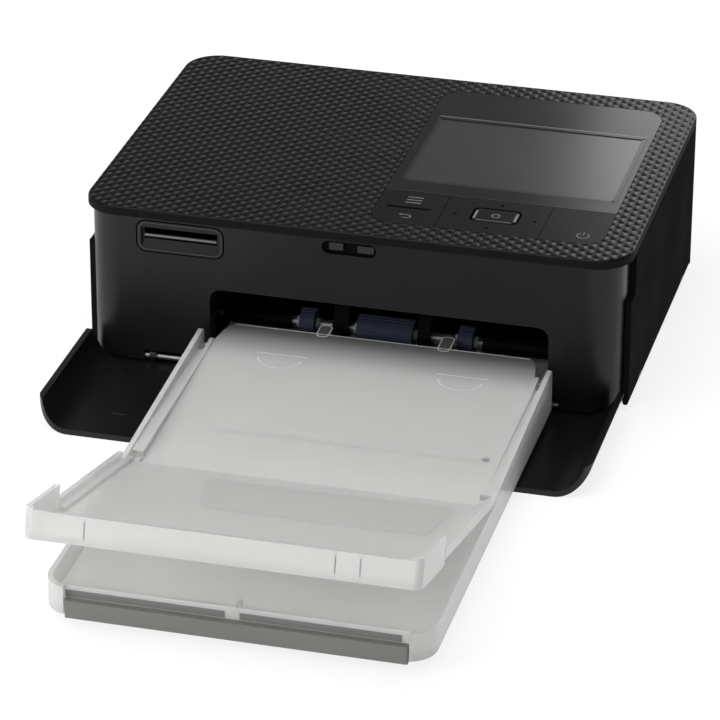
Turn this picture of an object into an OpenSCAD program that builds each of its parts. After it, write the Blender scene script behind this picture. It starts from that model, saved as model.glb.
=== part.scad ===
// Compact photo printer with its front cover open and its paper cassette in place.
// Millimetres. Origin: on the table, in the middle of the whole deployed printer's box.
// +X to the user's right, +Y away from the user, +Z up.

/* [Casing] */
// Width across the side covers
body_w = 183.4; // [178:0.1:190]
// Depth from the front face to the rear cover
body_d = 133; // [131:0.5:145]
// Height from the table to the top
body_h = 57.6; // [57:0.1:64]
// Plan radius of the four upright corners
corner_r = 12; // [11:0.5:14]
// Wall of the moulded covers
skin = 1.9; // [1.8:0.1:2.4]
// Thickness of the top cover
top_t = 3; // [2.8:0.1:3.4]
// Rounding of the top cover's upper edge
top_edge_r = 0.8; // [0.5:0.1:0.8]
// Seam between neighbouring covers
seam = 0.2; // [0.15:0.05:0.3]
// Height of the rubber feet
foot_h = 1.6; // [1.2:0.1:1.8]
// Radius of the rubber feet
foot_r = 6; // [5:0.5:8]
// Distance of a foot's centre from the side and the end of the base
foot_inset = 16; // [14:1:22]
// Front edge of the side covers, behind the front face
side_front_y = 10; // [9:0.5:12]
// Height of the finger notches in the side covers
notch_h = 15; // [8:0.5:16]
// Depth of the finger notches
notch_d = 6.5; // [4:0.5:9]

/* [Mouth] */
// Width of the paper mouth
mouth_w = 114.1; // [114:0.1:117]
// Centre of the mouth, right of the middle
mouth_x = 9.7; // [9.4:0.1:10]
// Height of the mouth's upper edge
mouth_top = 31.5; // [28:0.1:32]
// Rounding of the mouth's upper corners
mouth_r = 4; // [2:0.5:6]

/* [Front cover] */
// Length of the open front cover in front of the front face
cover_reach = 52.8; // [48:0.1:53]
// Thickness of the front cover
cover_t = 2; // [1.8:0.1:2.1]
// Height of the front cover's curled ends above the table
wrap_h = 9.8; // [8:0.1:11]
// Plan radius of the front cover's free corners
cover_corner_r = 10; // [8:0.5:18]
// Hinge axis behind the front face
hinge_y = 1.6; // [1.5:0.1:1.8]
// Hinge axis above the table
hinge_z = 3.8; // [3.7:0.1:4]
// Radius of the hinge rods
hinge_rod_r = 1; // [0.8:0.1:1.2]

/* [Control panel] */
// Left edge of the control panel, right of the middle
panel_x = 2.6; // [1:0.1:4]
// Rim of the top in front of the control panel
panel_y = 11.4; // [9:0.1:13]
// Rim of the top to the right of the control panel
rim_right = 10.8; // [9:0.1:13]
// Rim of the top behind the control panel
rim_back = 10.2; // [9:0.1:12]
// Corner radius of the control panel
panel_r = 8; // [6:0.5:10]
// Thickness of the control panel
panel_t = 1.4; // [1.2:0.1:1.5]
// Depth of the row of keys
key_row_d = 25.6; // [24:0.1:27]
// Width of the rocker key at the left
left_key_w = 22.7; // [21:0.1:25]
// Width of the four-way key
nav_key_w = 34.5; // [31:0.1:36]
// Width of the middle key
ok_w = 15; // [14:0.1:17]
// Depth of the middle key
ok_d = 9.6; // [8:0.1:11]
// Travel of the keys
key_travel = 0.35; // [0.2:0.05:0.4]
// Length of the finger groove across the rocker key
groove_w = 14.9; // [10:0.1:16]
// Glass to the left of the display
lcd_left = 3.3; // [2.8:0.1:5]
// Glass to the right of the display
lcd_right = 2; // [1.5:0.1:4]
// Glass between the keys and the display
lcd_front = 8; // [6:0.1:10]
// Glass behind the display
lcd_back = 22.9; // [18:0.1:26]

/* [Card slot and catch] */
// Width of the card slot's frame
card_w = 29.2; // [28:0.1:32]
// Height of the card slot's frame
card_h = 10.7; // [10:0.1:11]
// Centre of the card pocket, in from the left side cover
card_inset = 34.5; // [31.7:0.1:35.7]
// Centre of the card slot below the top
card_drop = 9.35; // [9.35:0.05:9.8]
// Groove around the card slot's frame
card_gap = 0.45; // [0.3:0.05:0.5]
// Width of the slot for a memory card
slot_w = 24.9; // [24.5:0.1:26]
// Width of the front cover's catch
catch_w = 18.2; // [15:0.1:22]
// Height of the front cover's catch
catch_h = 4.6; // [4:0.1:5]
// Centre of the catch below the top
catch_drop = 5.9; // [5.9:0.1:6.6]

/* [Paper cassette] */
// Centre of the cassette and the rollers, right of the middle
tray_x = 9.4; // [9.2:0.1:9.8]
// Width of the cassette in front of the mouth
tray_w = 119; // [118:0.1:121]
// Width of the part that goes into the mouth
insert_w = 111; // [109:0.1:112]
// Front end of the tray, in front of the front face
tray_reach = 167.5; // [160:0.5:176]
// Depth of the cassette inside the mouth
insert_d = 31; // [28:0.5:32]
// Underside of the tray above the table
tray_z = 3.8; // [3.7:0.1:4]
// Upper edge of the tray above the table
tray_rim_z = 13; // [12.8:0.1:13.2]
// Upper edge of the inserted walls above the table
insert_rim_z = 10.3; // [9:0.1:10.5]
// Wall of the cassette's mouldings
tray_t = 1.6; // [1.4:0.1:1.8]
// Plan radius of the tray's front corners
tray_r = 9; // [7:0.5:10]
// Hinge line of both lids in front of the front face
fold_y = 86; // [80:0.5:90]
// Hinge line of both lids above the table
fold_z = 11.5; // [11.3:0.1:11.7]
// Slope of the inner lid, in degrees
inner_slope = 2.75; // [2.5:0.05:3]
// Opening angle of the output lid, in degrees
lid_tilt = 14.5; // [12:0.5:18]
// Length of the output lid from its hinge
lid_len = 98; // [90:0.5:100]
// Height of the output lid's side walls
lid_side_h = 5; // [4:0.1:6]
// Height of the output lid's raised corners
lid_corner_h = 9.4; // [9:0.1:11]
// Height of the output lid's front lip
lid_lip_h = 8.6; // [7:0.1:9]
// Length of the output lid's raised corners
lid_ear_l = 29.5; // [20:0.5:31]
// Plan radius of the output lid's front corners
lid_r = 2.8; // [2:0.1:5]
// Length of the lift plate
lift_l = 66; // [60:1:68]

/* [Works] */
// Feed shaft to platen roller, front to back
platen_gap = 41; // [40.8:0.1:41.2]
// Feed roller radius
feed_r = 5; // [4.5:0.1:5.2]
// Feed shaft behind the front face
feed_y = 19; // [18:0.5:20]
// Feed shaft above the table
feed_z = 14; // [13.8:0.1:14.4]
// Feed shaft radius
shaft_r = 1.5; // [1.2:0.1:1.6]
// Tooth module of the gears
tooth_m = 1; // [0.9:0.05:1]
// Teeth of the feed gear
feed_teeth = 16; // [16:2:16]
// Teeth of the idler gear
idler_teeth = 25; // [25:1:26]
// Teeth of the platen gear
platen_teeth = 18; // [18:1:18]
// Teeth of the capstan gear
capstan_teeth = 18; // [18:2:18]
// Teeth of the motor pinion
pinion_teeth = 10; // [10:2:10]
// Platen roller radius
platen_r = 5; // [4.6:0.1:5.2]
// Capstan radius
capstan_r = 3; // [2.6:0.1:3.2]
// Pinch roller radius
pinch_r = 2.6; // [2.2:0.1:2.8]
// Motor radius
motor_r = 12; // [10:0.5:13]
// Length of the motor
motor_l = 18; // [15:1:20]
// Radius of the ribbon cassette's drums
drum_r = 11.5; // [10.5:0.5:12]
// Gap between the ribbon drums and the display
drum_gap = 3.1; // [2.1:0.1:4.1]
// Behind the front face: first ribbon spool
spool_front_y = 48; // [47:0.5:49]
// Behind the front face: second ribbon spool
spool_back_y = 90; // [89.5:0.5:92]

/* [Hidden] */
$fn = 48;

over = 5;             // how far a cut runs past the face that it opens
fit = 0.3;            // gap between pieces that only lie side by side
run = 0.05;           // radial clearance of a turning shaft
grip = 0.02;          // radial clearance of a pressed seat

half_w = body_w / 2;
inner_half = half_w - skin;
top_z = body_h - top_t;
front_face = 0.2;
bezel_half = inner_half - seam;
bezel_r = corner_r - 1;
bezel_z = 2.6;
bezel_back = 22;
side_z = 2.2;
side_back = body_d - corner_r - seam;
rear_in = body_d - skin;
base_t = 1.8;
base_top = foot_h + base_t;
base_front = 4.4;
base_half = inner_half - 0.7;
base_back = rear_in - seam;
base_r = corner_r - skin;
board_z = base_top + 3;
flap_back = hinge_y + cover_t;

panel_w = half_w - rim_right - panel_x;
panel_d = body_d - rim_back - panel_y;
panel_cx = panel_x + panel_w / 2;
panel_cy = panel_y + panel_d / 2;
panel_z = body_h - panel_t;
key_back_y = panel_y + key_row_d;
key_floor_z = panel_z - 0.6;
key_mid_y = panel_y + key_row_d / 2;
div_left = panel_x + left_key_w;
div_right = div_left + nav_key_w;
menu_at = [panel_x + left_key_w / 2, key_mid_y + key_row_d / 4];
back_at = [panel_x + left_key_w / 2, key_mid_y - key_row_d / 4];
ok_at = [div_left + nav_key_w / 2 + 0.4, key_mid_y + 1];
power_at = [(div_right + panel_x + panel_w) / 2, key_mid_y];
nav_at = [for (a = [[-1, 0], [1, 0], [0, -1], [0, 1]])
          [ok_at[0] + a[0] * (ok_w / 2 + 3.6), ok_at[1] + a[1] * (ok_d / 2 + 2.8)]];
lcd_w = panel_w - lcd_left - lcd_right;
lcd_d = panel_d - key_row_d - lcd_front - lcd_back;
lcd_x = panel_x + lcd_left + lcd_w / 2;
lcd_y = key_back_y + lcd_front + lcd_d / 2;
lcd_ledge = 2.5;
lcd_t = 3;
board_t = 1.2;
key_board_z = top_z - 3.4;
dome_top_z = top_z - 0.65;
stem_z = dome_top_z + key_travel + 0.05;
stem_r = 1.6;

card_z = body_h - card_drop;
card_x = half_w - card_inset;
catch_z = body_h - catch_drop;
wall_in = mouth_w / 2 + 1.95;      // chassis walls, from the middle of the cassette
wall_t = 2;
wall_l = tray_x - wall_in;
wall_r = tray_x + wall_in;
wall_front = 7.3;
wall_back = rear_in - 13.1;
wall_top = top_z - 3.6;
gear_x0 = wall_l - wall_t - 6.4;
gear_x1 = gear_x0 + 4.8;
shaft_x0 = gear_x0 - 1;
shaft_x1 = wall_r + wall_t + 0.8;
feed_gear_r = feed_teeth * tooth_m / 2;
idler_gear_r = idler_teeth * tooth_m / 2;
platen_gear_r = platen_teeth * tooth_m / 2;
capstan_gear_r = capstan_teeth * tooth_m / 2;
pinion_r = pinion_teeth * tooth_m / 2;
platen_y = feed_y + platen_gap;
feed_reach = feed_gear_r + idler_gear_r;
platen_reach = platen_gear_r + idler_gear_r;
idler_dy = (platen_gap * platen_gap + feed_reach * feed_reach - platen_reach * platen_reach) / (2 * platen_gap);
idler_dz = sqrt(feed_reach * feed_reach - idler_dy * idler_dy);
idler_y = feed_y + idler_dy;
idler_z = feed_z + idler_dz;
// Turned so that a tooth of one gear meets a gap of the next
to_idler = atan2(idler_dz, idler_y - platen_y);
to_feed = atan2(-idler_dz, -idler_dy);
idler_phase = to_idler + 180 - (0.5 - to_idler * platen_teeth / 360) * 360 / idler_teeth;
feed_phase = to_feed + 180 - (0.5 - (to_feed - idler_phase) * idler_teeth / 360) * 360 / feed_teeth;
pinion_phase = 270 - (0.5 - platen_teeth / 4) * 360 / pinion_teeth;
capstan_y = platen_y + platen_gear_r + capstan_gear_r;
motor_z = feed_z + platen_gear_r + pinion_r;
roller_shaft_r = 2;
print_l = 105;
print_x0 = tray_x - print_l / 2;
print_x1 = tray_x + print_l / 2;
pinch_z = feed_z + capstan_r + 0.25 + pinch_r;
head_z = feed_z + platen_r + 0.6;
spool_z = top_z - lcd_t - drum_gap - drum_r;
rail_z = spool_z + 7;
bracket_lo = motor_z - 2.0;
bracket_hi = spool_z + 9;
post_z = [bracket_hi - 4, bracket_hi - 4, bracket_lo + 4];
sleeve_r = 2.9;
bush_r = 3.2;
bearings = [[feed_y, shaft_r], [platen_y, roller_shaft_r], [capstan_y, roller_shaft_r]];

board_x0 = -base_half + 2.7;
board_x1 = gear_x0 - 2.8;
board_y0 = 23;
board_y1 = rear_in - 2.1;
board_posts = [board_x0 + 2.9, board_x1 - 3.2];

lid_c = cos(lid_tilt);
lid_reach = fold_y + lid_len * lid_c;
frame_y = (lid_reach - body_d) / 2;     // puts the origin under the middle of the box
tray_half = tray_w / 2;
insert_half = insert_w / 2;
tray_step_y = -2.5;
pin_r = 1;
ear_r = 2.1;

module placed() { translate([0, frame_y, 0]) children(); }

// Rounded rectangle about the origin
module slab2d(w, d, r) {
    square([w - 2 * r, d], center = true);
    square([w, d - 2 * r], center = true);
    for (x = [-1, 1], y = [-1, 1])
        translate([x * (w / 2 - r), y * (d / 2 - r)]) circle(r);
}

module slab(w, d, h, r) { linear_extrude(h) slab2d(w, d, r); }

// Rounded slab whose upper edge has a quarter-round of radius e
module soft_slab(w, d, h, r, e) {
    x = w / 2 - r;
    y = d / 2 - r;
    translate([-x, -d / 2 + e, 0]) cube([2 * x, d - 2 * e, h]);
    translate([-w / 2 + e, -y, 0]) cube([w - 2 * e, 2 * y, h]);
    translate([-x, -d / 2, 0]) cube([2 * x, d, h - e]);
    translate([-w / 2, -y, 0]) cube([w, 2 * y, h - e]);
    for (s = [-1, 1]) {
        translate([-x, s * (d / 2 - e), h - e]) rotate([0, 90, 0]) cylinder(r = e, h = 2 * x);
        translate([s * (w / 2 - e), y, h - e]) rotate([90, 0, 0]) cylinder(r = e, h = 2 * y);
        for (t = [-1, 1])
            translate([s * x, t * y, 0]) rotate_extrude() {
                square([r - e, h]);
                square([r, h - e]);
                translate([r - e, h - e]) circle(e);
            }
    }
}

// Profile in (y, z), drawn out along X
module along_x(x0, x1) { translate([x0, 0, 0]) rotate([90, 0, 90]) linear_extrude(x1 - x0) children(); }

// Profile in (x, z), drawn out along Y
module along_y(y0, y1) { translate([0, y1, 0]) rotate([90, 0, 0]) linear_extrude(y1 - y0) children(); }

module rod_x(r, x0, x1, y, z) { translate([x0, y, z]) rotate([0, 90, 0]) cylinder(r = r, h = x1 - x0); }

module rod_y(r, y0, y1, x, z) { translate([x, y1, z]) rotate([90, 0, 0]) cylinder(r = r, h = y1 - y0); }

module tube_x(ro, ri, x0, x1, y, z) {
    difference() {
        rod_x(ro, x0, x1, y, z);
        rod_x(ri, x0 - over, x1 + over, y, z);
    }
}

// Spur gear outline: straight-flanked teeth, thin enough to turn with play
function tooth_at(n, i, r, share) = let (a = (i + share) * 360 / n) [r * cos(a), r * sin(a)];
function gear_outline(n, m) = let (rt = (n / 2 + 0.75) * m, rr = (n / 2 - 1.15) * m)
    [for (i = [0:n - 1]) each [tooth_at(n, i, rr, -0.27), tooth_at(n, i, rt, -0.1),
                               tooth_at(n, i, rt, 0.1), tooth_at(n, i, rr, 0.27)]];

module gear(teeth, phase, bore, y, z, hub_r) {
    difference() {
        union() {
            translate([0, y, z]) rotate([phase, 0, 0]) along_x(gear_x0, gear_x1)
                polygon(gear_outline(teeth, tooth_m));
            rod_x(hub_r, gear_x0, gear_x1 + 0.8, y, z);
        }
        rod_x(bore + grip, gear_x0 - over, gear_x1 + over, y, z);
    }
}

// ---- Top ----

module lcd_slab(margin, h) { translate([lcd_x, lcd_y, 0]) slab(lcd_w + 2 * margin, lcd_d + 2 * margin, h, 0.7); }

module key_posts(r, z0, z1) {
    for (x = [panel_x + 3, panel_x + panel_w - 3], y = [panel_y + 4, key_back_y - 3])
        translate([x, y, z0]) cylinder(r = r, h = z1 - z0);
}

module top_cover() {
    color("#232325") placed() difference() {
        union() {
            translate([0, body_d / 2, top_z]) soft_slab(body_w, body_d, top_t, corner_r, top_edge_r);
            for (s = [-1, 1])
                translate([s * (bezel_half - 1) - 0.6, 26, top_z - 3]) cube([1.2, 90, 3]);
            key_posts(1.8, key_board_z + board_t, top_z);
        }
        translate([panel_cx, panel_cy, panel_z]) slab(panel_w, panel_d, over, panel_r);
        intersection() {
            translate([panel_cx, panel_cy, key_floor_z]) slab(panel_w, panel_d, over, panel_r);
            translate([0, 0, key_floor_z]) cube([2 * panel_w, key_back_y, over]);
        }
        for (p = concat([menu_at, back_at, ok_at, power_at], nav_at))
            translate([p[0] - 2.2, p[1] - 2.2, top_z - over]) cube([4.4, 4.4, 2 * over]);
        translate([0, 0, top_z - over]) lcd_slab(-lcd_ledge, 2 * over);
    }
}

module control_panel() {
    color("#101012") placed() difference() {
        intersection() {
            translate([panel_cx, panel_cy, panel_z])
                slab(panel_w - 2 * seam, panel_d - 2 * seam, panel_t, panel_r - seam);
            translate([0, key_back_y + seam / 2, panel_z]) cube([2 * panel_w, panel_d, panel_t]);
        }
        translate([0, 0, panel_z - over]) lcd_slab(0, 2 * over);
    }
}

module display_window() {
    color("#6e7376") placed() translate([0, 0, panel_z]) lcd_slab(-0.1, panel_t - 0.25);
}

module display_module() {
    color("#4a4d50") placed() {
        translate([0, 0, top_z - lcd_t]) lcd_slab(2, lcd_t);
        translate([0, 0, top_z - 1]) lcd_slab(-lcd_ledge - fit, panel_z - top_z + 0.9);
    }
}

// One flush key of the row, cut from the panel's outline
module key_plate(x0, x1, y0, y1) {
    intersection() {
        translate([panel_cx, panel_cy, panel_z])
            slab(panel_w - 2 * seam, panel_d - 2 * seam, panel_t, panel_r - seam);
        translate([x0 + seam / 2, y0 + seam / 2, panel_z])
            cube([x1 - x0 - seam, y1 - y0 - seam, panel_t]);
    }
}

module key_stem(p) { translate([p[0], p[1], stem_z]) cylinder(r = stem_r, h = panel_z - stem_z + 0.4); }

module finger_groove() {
    translate([menu_at[0], key_mid_y, body_h - 0.5]) slab(groove_w, 1.1, over, 0.54);
}

// Rocks on its middle line: the menu half is at the back, the return half in front
module rocker_key() {
    color("#121214") placed() difference() {
        union() {
            key_plate(panel_x, div_left, panel_y, key_back_y);
            key_stem(menu_at);
            key_stem(back_at);
        }
        finger_groove();
    }
}

module nav_key() {
    color("#121214") placed() difference() {
        union() {
            key_plate(div_left, div_right, panel_y, key_back_y);
            for (p = nav_at) key_stem(p);
        }
        translate([ok_at[0], ok_at[1], panel_z - over]) slab(ok_w + 1.2, ok_d + 1.2, 2 * over, 2.4);
    }
}

module ok_key() {
    color("#161618") placed() {
        translate([ok_at[0], ok_at[1], panel_z]) soft_slab(ok_w, ok_d, panel_t, 2, 0.6);
        key_stem(ok_at);
    }
}

module power_key() {
    color("#121214") placed() {
        key_plate(div_right, panel_x + panel_w, panel_y, key_back_y);
        key_stem(power_at);
    }
}

module key_board() {
    color("#1f5a3a") placed() {
        translate([panel_cx, key_mid_y, key_board_z]) slab(panel_w - 1.4, key_row_d, board_t, 1.5);
        for (p = concat([menu_at, back_at, ok_at, power_at], nav_at))
            translate([p[0], p[1], key_board_z + board_t])
                cylinder(r = 2.4, h = dome_top_z - key_board_z - board_t);
    }
}

// ---- Front ----

module mouth2d(margin) {
    translate([mouth_x, mouth_top - 30 + margin / 2]) slab2d(mouth_w + 2 * margin, 60 + margin, mouth_r + margin);
}

hinge_l = [-70.3, -53.5];
hinge_r = [66.1, 70.4];

module front_bezel() {
    h = top_z - 0.1 - bezel_z;
    color("#1b1b1d") placed() difference() {
        union() {
            difference() {
                intersection() {
                    translate([0, front_face + body_d / 2, bezel_z]) slab(2 * bezel_half, body_d, h, bezel_r);
                    translate([-half_w, 0, bezel_z]) cube([body_w, bezel_back, h]);
                }
                translate([0, front_face + body_d / 2, bezel_z - over])
                    slab(2 * (bezel_half - skin), body_d - 2 * skin, h + 2 * over, bezel_r - skin);
            }
            intersection() {
                along_y(front_face, wall_front - fit) mouth2d(1.4);
                translate([-half_w, 0, base_top + 0.1]) cube([body_w, bezel_back, body_h]);
            }
            for (x = [hinge_l[0] - 3, hinge_l[1], hinge_r[1]])
                translate([x, front_face, bezel_z]) cube([3, base_front - 0.4, 4.2]);
        }
        along_y(-over, bezel_back) mouth2d(0);
        translate([-half_w, base_front - 0.2, bezel_z - over])
            cube([body_w, bezel_back, over + base_top + 0.1 - bezel_z]);
        along_y(-over, bezel_back) translate([-card_x, card_z])
            slab2d(card_w + 2 * card_gap, card_h + 2 * card_gap, 3 + card_gap);
        along_y(-over, bezel_back) translate([0, catch_z]) slab2d(catch_w, catch_h, catch_h / 2 - 0.01);
        for (h = [hinge_l, hinge_r])
            translate([h[0], -over, 0]) cube([h[1] - h[0], over + base_front, hinge_z + ear_r + fit]);
        rod_x(hinge_rod_r + grip, hinge_l[0] - 2.2, hinge_l[1] + 2.2, hinge_y, hinge_z);
        rod_x(hinge_rod_r + grip, hinge_r[0] - over, hinge_r[1] + 2.2, hinge_y, hinge_z);
    }
}

module card_slot_frame() {
    color("#1b1b1d") placed() difference() {
        along_y(front_face - 0.1, front_face + 3) translate([-card_x, card_z]) slab2d(card_w, card_h, 3);
        along_x(-card_x - slot_w / 2 - 0.8, -card_x + slot_w / 2 + 0.8)
            polygon([[-over, card_z - 3.8], [front_face, card_z - 3.8], [1.3, card_z - 1.6],
                     [1.3, card_z + 3.3], [-over, card_z + 3.3]]);
        for (z = [[-1.3, -0.7], [-0.1, 2.6]])
            along_y(-over, over) translate([-card_x - slot_w / 2, card_z + z[0]]) square([slot_w, z[1] - z[0]]);
    }
}

module card_socket() {
    color("#26272a") placed() difference() {
        translate([-card_x - slot_w / 2 - 0.6, front_face + 3.1, card_z - 1.8]) cube([slot_w + 1.2, 28, 4.8]);
        translate([-card_x - slot_w / 2 + 0.2, -over, card_z + 0.3]) cube([slot_w - 0.4, 30, 2.2]);
    }
}

module card_board() {
    color("#1f5a3a") placed() translate([-card_x, 20, card_z - 1.8 - 1.5]) slab(40, 32, 1.5, 2);
}

module cover_catch() {
    color("#0c0c0d") placed() {
        along_y(front_face + 1, front_face + 3.4) translate([0, catch_z]) slab2d(catch_w - 0.4, catch_h - 0.4, catch_h / 2 - 0.21);
        for (s = [-1, 1])
            along_y(front_face + 0.3, front_face + 1.2) translate([s * catch_w * 0.28, catch_z]) slab2d(4.6, 3, 0.8);
    }
}

module front_cover() {
    color("#161618") placed() difference() {
        union() {
            intersection() {
                along_y(-cover_reach, flap_back) difference() {
                    translate([0, 30]) slab2d(body_w, 60, corner_r);
                    translate([0, 30 + cover_t]) slab2d(body_w - 2 * cover_t, 60, corner_r - cover_t);
                }
                translate([0, 60 - cover_reach, 0]) slab(body_w, 120, wrap_h, cover_corner_r);
            }
            for (x = [hinge_l[0] + 2, hinge_l[1] - 3.5, hinge_r[0] + 0.4]) {
                rod_x(ear_r, x, x + 2, hinge_y, hinge_z);
                translate([x, hinge_y - ear_r + 0.5, 0.5]) cube([2, 2 * ear_r - 1, hinge_z - 0.5]);
            }
        }
        rod_x(hinge_rod_r + run, -half_w + 10, half_w - 10, hinge_y, hinge_z);
        for (s = [-1, 1]) intersection() {
            translate([0, front_face + body_d / 2, cover_t]) slab(2 * bezel_half + 1, body_d + 1, body_h, bezel_r + 0.5);
            translate([s * half_w - 12, -over, cover_t]) cube([24, 2 * over, body_h]);
        }
    }
}

module cover_hinge_rods() {
    color("#c9cccd") placed() {
        rod_x(hinge_rod_r, hinge_l[0] - 2.1, hinge_l[1] + 2.1, hinge_y, hinge_z);
        rod_x(hinge_rod_r, hinge_r[0] + 0.2, hinge_r[1] + 2.1, hinge_y, hinge_z);
    }
}

// ---- Sides, back and base ----

door_axis = [half_w - skin / 2, side_z + skin / 2];
door_pin_r = 0.6;
lug_l = 5.6;
lug_y = [side_front_y + 18, side_back - 17.8];

module side_wall2d(z0) {
    difference() {
        translate([side_front_y, z0]) square([side_back - side_front_y, top_z - 0.15 - z0]);
        translate([side_front_y + notch_d - 20, top_z - notch_h + 20]) slab2d(40, 40, 2);
    }
}

module left_side_cover() {
    color("#1b1b1d") placed() {
        along_x(-half_w, -inner_half) side_wall2d(side_z);
        for (y = [46, 72, 98]) translate([-inner_half - 0.5, y, 12]) cube([1.7, 1.4, 34]);
    }
}

module ink_door() {
    color("#1b1b1d") placed() difference() {
        union() {
            along_x(inner_half, half_w) side_wall2d(door_axis[1]);
            rod_y(skin / 2, side_front_y, side_back, door_axis[0], door_axis[1]);
            for (y = [46, 72, 98]) translate([inner_half - 1.2, y, 12]) cube([1.7, 1.4, 34]);
        }
        for (y = lug_y) {
            translate([inner_half - over, y - fit, 0]) cube([skin + 2 * over, lug_l + 2 * fit, door_axis[1] + skin / 2 + fit]);
            rod_y(door_pin_r + run, y - 6, y + lug_l + 6, door_axis[0], door_axis[1]);
        }
    }
}

module door_pins() {
    color("#b8bbbd") placed() for (y = lug_y) rod_y(door_pin_r, y - 5, y + lug_l + 5, door_axis[0], door_axis[1]);
}

jack_x = -base_half + 19.1;
jack_z = 13;
usb_x = jack_x - 11;

module rear_cover() {
    h = top_z - 0.15 - side_z;
    color("#1b1b1d") placed() difference() {
        intersection() {
            difference() {
                translate([0, body_d / 2, side_z]) slab(body_w, body_d, h, corner_r);
                translate([0, body_d / 2, side_z - over]) slab(2 * inner_half, body_d - 2 * skin, h + 2 * over, corner_r - skin);
            }
            translate([-half_w, body_d - corner_r, 0]) cube([body_w, corner_r, body_h]);
        }
        along_y(rear_in - over, body_d + over) {
            translate([tray_x, 17.6]) slab2d(107, 7.2, 2);
            translate([jack_x, jack_z]) circle(3.3);
            translate([usb_x, base_top + 6.2]) slab2d(9.6, 3.8, 1.5);
            for (i = [0:11]) translate([14 + i * 4.6, 38]) slab2d(2, 14, 0.99);
        }
    }
}

module base() {
    l = base_back - base_front;
    color("#161617") placed() difference() {
        union() {
            translate([0, base_front + l / 2, foot_h]) slab(2 * base_half, l, base_t, base_r);
            for (y = lug_y) {
                translate([base_half - 4, y, side_z + 0.3]) cube([door_axis[0] - base_half + 4, lug_l, 1.6]);
                rod_y(skin / 2, y, y + lug_l, door_axis[0], door_axis[1]);
            }
            for (x = board_posts, y = [board_y0 + 5, board_y1 - 15]) translate([x, y, foot_h]) cylinder(r = 2.4, h = base_t + 3);
            for (x = [-40:20:60], y = [50, 92]) translate([x, y, foot_h]) cube([1.2, 22, base_t + 1.6]);
        }
        for (y = lug_y) rod_y(door_pin_r + grip, y - over, y + lug_l + over, door_axis[0], door_axis[1]);
        for (x = screw_x, y = screw_y) translate([x, y, foot_h - over]) {
            cylinder(r = 1.6, h = 3 * over);
            cylinder(r = 2.9, h = over + 0.9);
        }
    }
}

screw_x = [wall_l - 6, wall_r + 6];
screw_y = [28, wall_back - 14];

module base_screws() {
    color("#9a9da0") placed() for (x = screw_x, y = screw_y) translate([x, y, foot_h + 0.1]) {
        cylinder(r = 2.6, h = 0.8);
        cylinder(r = 1.3, h = base_t + 2.2);
    }
}

module rubber_feet() {
    color("#2a2a2b") placed()
        for (x = [-1, 1], y = [base_front + foot_inset, base_back - foot_inset])
            translate([x * (base_half - foot_inset), y, 0]) {
                cylinder(r = foot_r, h = foot_h);
            }
}

// ---- Paper cassette ----

tray_l = tray_reach + tray_step_y;

module tray_box(half, y0, y1, z0, z1, r) {
    translate([tray_x, (y0 + y1) / 2, z0]) slab(2 * half, y1 - y0, z1 - z0, r);
}

module paper_tray() {
    y0 = -tray_reach;
    color("#d9dbda") placed() difference() {
        union() {
            intersection() {
                tray_box(tray_half, y0, tray_step_y + 2 * tray_r, tray_z, tray_rim_z, tray_r);
                translate([-half_w, y0 - over, 0]) cube([body_w, tray_l + over, body_h]);
            }
            tray_box(insert_half, tray_step_y - 10, insert_d, tray_z, insert_rim_z, 1);
        }
        difference() {
            tray_box(tray_half - tray_t, y0 + tray_t, tray_step_y + 2 * tray_r, tray_z + tray_t, body_h, tray_r - tray_t);
            translate([-half_w, tray_step_y - tray_t, 0]) cube([body_w, over * 10, body_h]);
        }
        tray_box(insert_half - tray_t, tray_step_y - 12, insert_d - tray_t, tray_z + tray_t, body_h, 0.5);
        translate([tray_x - insert_half, insert_d - tray_t - over, 8.4]) cube([insert_w, 2 * over, over]);
        translate([tray_x + 0.2 - 52.6, y0 - over, 0]) cube([105.2, over + 2.1, body_h]);
        rod_x(pin_r + grip, tray_x - tray_half + 0.3, tray_x + tray_half - 0.3, -fold_y, fold_z);
        rod_x(pin_r + grip, tray_x - tray_half + 0.3, tray_x + tray_half - 0.3, lift_y, tray_z + tray_t + 1.4);
    }
    color("#d9dbda") placed() {
        translate([tray_x + 0.2 - 53.1, y0 + 2.1, tray_z]) cube([106.2, 1.5, tray_rim_z - tray_z]);
        translate([tray_x - 0.6, y0 + 3, tray_z]) cube([1.2, 5, tray_rim_z - tray_z - 0.5]);
    }
}

module tray_front_bar() {
    color("#6d6d69") placed()
        translate([tray_x + 0.2, -tray_reach + 1, 2.9]) slab(tray_w - 14.4, 2.2, 5.9, 0.5);
}

lift_y = insert_d - 3 - lift_l;

module lift_plate() {
    color("#c9cbca") placed() {
        translate([tray_x - insert_half + 3, lift_y, tray_z + tray_t + 0.9]) cube([insert_w - 6, lift_l, 1]);
        rod_x(pin_r - run, tray_x - tray_half + 0.6, tray_x + tray_half - 0.6, lift_y, tray_z + tray_t + 1.4);
    }
}

module lid_pins() {
    color("#d9dbda") placed() for (s = [-1, 1])
        rod_x(pin_r, tray_x + s * (tray_half - 3.05) - 2.65, tray_x + s * (tray_half - 3.05) + 2.65, -fold_y, fold_z);
}

// The inner lid's own frame: hinge line at the origin, length along +Y
module inner_frame() { placed() translate([tray_x, -fold_y, fold_z]) rotate([inner_slope, 0, 0]) children(); }

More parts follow.
